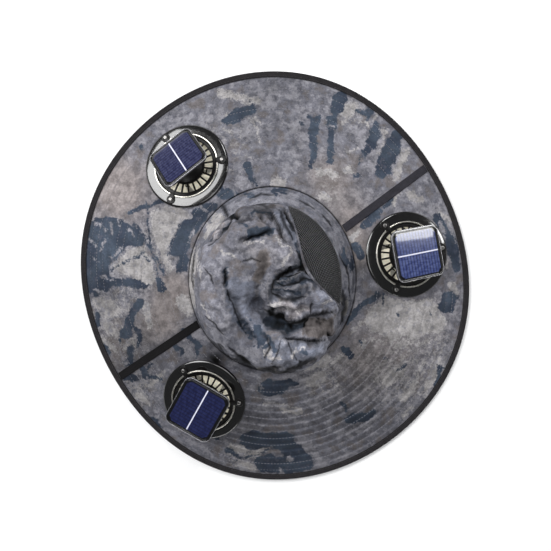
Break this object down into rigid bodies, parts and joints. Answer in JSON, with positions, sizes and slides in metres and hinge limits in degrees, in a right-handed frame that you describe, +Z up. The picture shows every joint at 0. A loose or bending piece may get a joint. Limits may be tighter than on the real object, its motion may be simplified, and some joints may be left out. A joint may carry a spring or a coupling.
{
  "type": "solar fan hat",
  "caption": "Wide-brimmed camouflage sun hat with a soft creased crown, a mesh window and small solar-powered fans let into the stitched brim.",
  "frame": {"origin": "on the ground under the middle of the hat's bounding box", "axes": "+Z up through the crown, +Y along the longer axis of the head opening, +X to the side with the mesh window"},
  "size_m": [0.4462, 0.4696, 0.1075],
  "materials": {
    "camouflage_cloth": "matte woven polyester, printed camouflage",
    "black_tape": "matte woven tape",
    "black_mesh": "open knitted mesh",
    "black_gloss": "polished black moulding",
    "cream_plastic": "satin cream moulding",
    "solar_cells": "glossy dark blue cells",
    "screw_steel": "bright steel"
  },
  "bodies": {
    "hat": {"brim": "camouflage_cloth", "brim_binding": "black_tape", "brim_tape_left": "black_tape", "brim_tape_right": "black_tape", "crown_band": "camouflage_cloth", "crown": "camouflage_cloth", "mesh_window": "black_mesh", "fan_1_flange": "black_gloss", "fan_1_lock_ring": "black_gloss", "fan_1_grille": "black_gloss", "fan_1_screw_1": "screw_steel", "fan_1_screw_2": "screw_steel", "fan_1_screw_3": "screw_steel", "fan_2_flange": "black_gloss", "fan_2_lock_ring": "black_gloss", "fan_2_grille": "black_gloss", "fan_2_screw_1": "screw_steel", "fan_2_screw_2": "screw_steel", "fan_2_screw_3": "screw_steel", "fan_3_flange": "black_gloss", "fan_3_lock_ring": "black_gloss", "fan_3_grille": "black_gloss", "fan_3_screw_1": "screw_steel", "fan_3_screw_2": "screw_steel", "fan_3_screw_3": "screw_steel"},
    "fan_1_rotor_body": {"fan_1_rotor": "cream_plastic"},
    "fan_1_panel_body": {"fan_1_panel": "black_gloss", "fan_1_cells": "solar_cells"},
    "fan_2_rotor_body": {"fan_2_rotor": "cream_plastic"},
    "fan_2_panel_body": {"fan_2_panel": "black_gloss", "fan_2_cells": "solar_cells"},
    "fan_3_rotor_body": {"fan_3_rotor": "cream_plastic"},
    "fan_3_panel_body": {"fan_3_panel": "black_gloss", "fan_3_cells": "solar_cells"}
  },
  "joints": [
    {"name": "fan_1_spin", "type": "hinge", "parent": "hat", "child": "fan_1_rotor_body", "pos_m": [0.14932, 0.02742, 0.02209], "axis": [0.2353, 0.0494, 0.9707], "continuous": true},
    {"name": "fan_1_panel_tilt", "type": "hinge", "parent": "hat", "child": "fan_1_panel_body", "pos_m": [0.15431, 0.02847, 0.04267], "axis": [-0.1805, 0.9836, -0.0063], "range_deg": [-42, 18]},
    {"name": "fan_2_spin", "type": "hinge", "parent": "hat", "child": "fan_2_rotor_body", "pos_m": [-0.09595, 0.12591, 0.02244], "axis": [-0.1472, 0.1751, 0.9735], "continuous": true},
    {"name": "fan_2_panel_tilt", "type": "hinge", "parent": "hat", "child": "fan_2_panel_body", "pos_m": [-0.09907, 0.12962, 0.04308], "axis": [-0.7954, -0.6059, -0.0113], "range_deg": [-55, 5]},
    {"name": "fan_3_spin", "type": "hinge", "parent": "hat", "child": "fan_3_rotor_body", "pos_m": [-0.07788, -0.13755, 0.02235], "axis": [-0.1356, -0.1947, 0.9714], "continuous": true},
    {"name": "fan_3_panel_tilt", "type": "hinge", "parent": "hat", "child": "fan_3_panel_body", "pos_m": [-0.08076, -0.14167, 0.04295], "axis": [0.8701, -0.4923, 0.0228], "range_deg": [-26, 34]}
  ]
}
